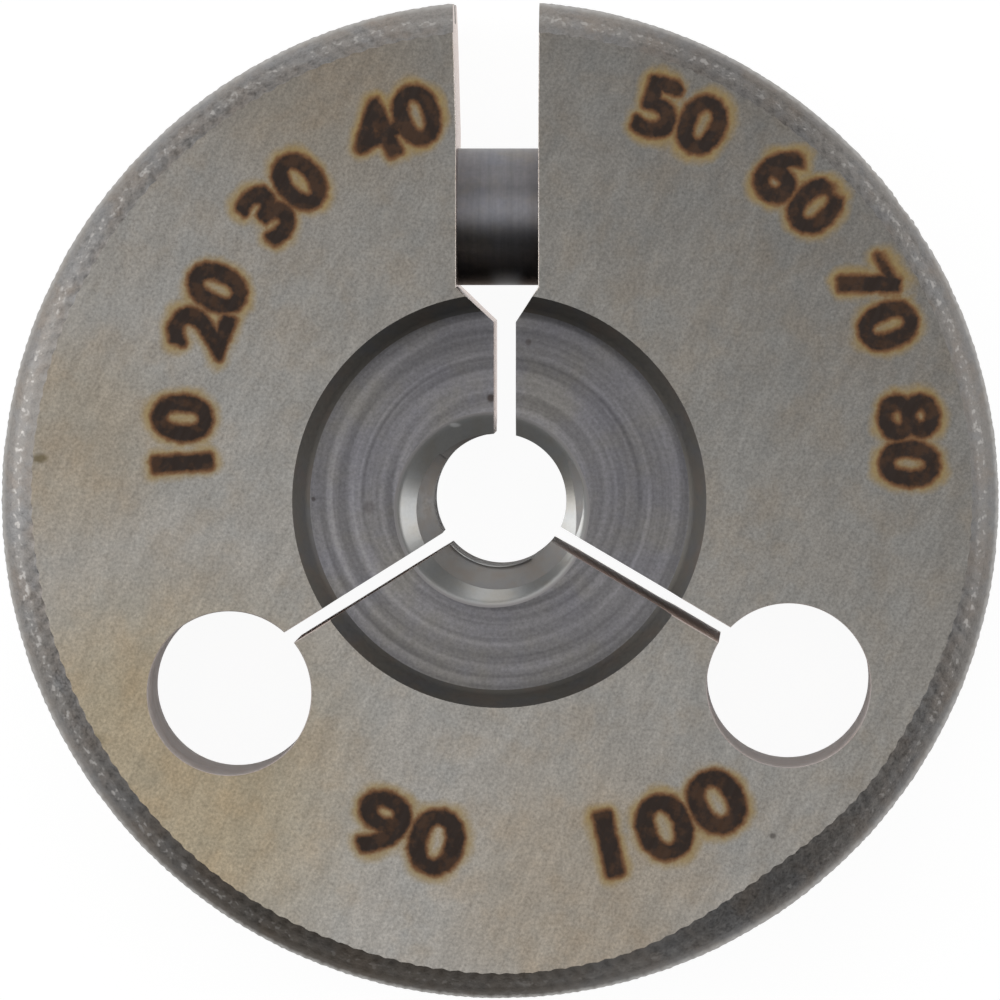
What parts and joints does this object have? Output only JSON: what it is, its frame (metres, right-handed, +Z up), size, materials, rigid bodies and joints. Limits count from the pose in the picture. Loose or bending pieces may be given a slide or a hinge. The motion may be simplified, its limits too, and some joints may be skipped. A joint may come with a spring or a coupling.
{
  "type": "thread ring gauge",
  "caption": "Split steel ring with a threaded gauging bore in a recess, two relief holes, a knurled rim and a screw-adjusted locking device across its open slot.",
  "frame": {"origin": "centre of the lower face, on the axis of the gauging bore", "axes": "+Z up along the gauging bore, +Y towards the open slot, +X towards the heads of the two screws"},
  "size_m": [0.0254, 0.0254, 0.0071],
  "materials": {
    "ring_steel": "ground faces, knurled rim",
    "sleeve_steel": "dark ground steel",
    "screw_steel": "black oxide"
  },
  "bodies": {
    "ring": {"ring_body": "ring_steel", "alignment_sleeve": "sleeve_steel"},
    "adjuster": {"adjusting_screw": "screw_steel"},
    "locker": {"locking_screw": "screw_steel"}
  },
  "joints": [
    {"name": "adjusting_screw_turn", "type": "hinge", "parent": "ring", "child": "adjuster", "pos_m": [0.0057, 0.0072, 0.00357], "axis": [1, 0, 0], "range_deg": [-90, 90]},
    {"name": "locking_screw_turn", "type": "hinge", "parent": "ring", "child": "locker", "pos_m": [0, 0.0072, 0.00357], "axis": [1, 0, 0], "range_deg": [0, 360]}
  ]
}
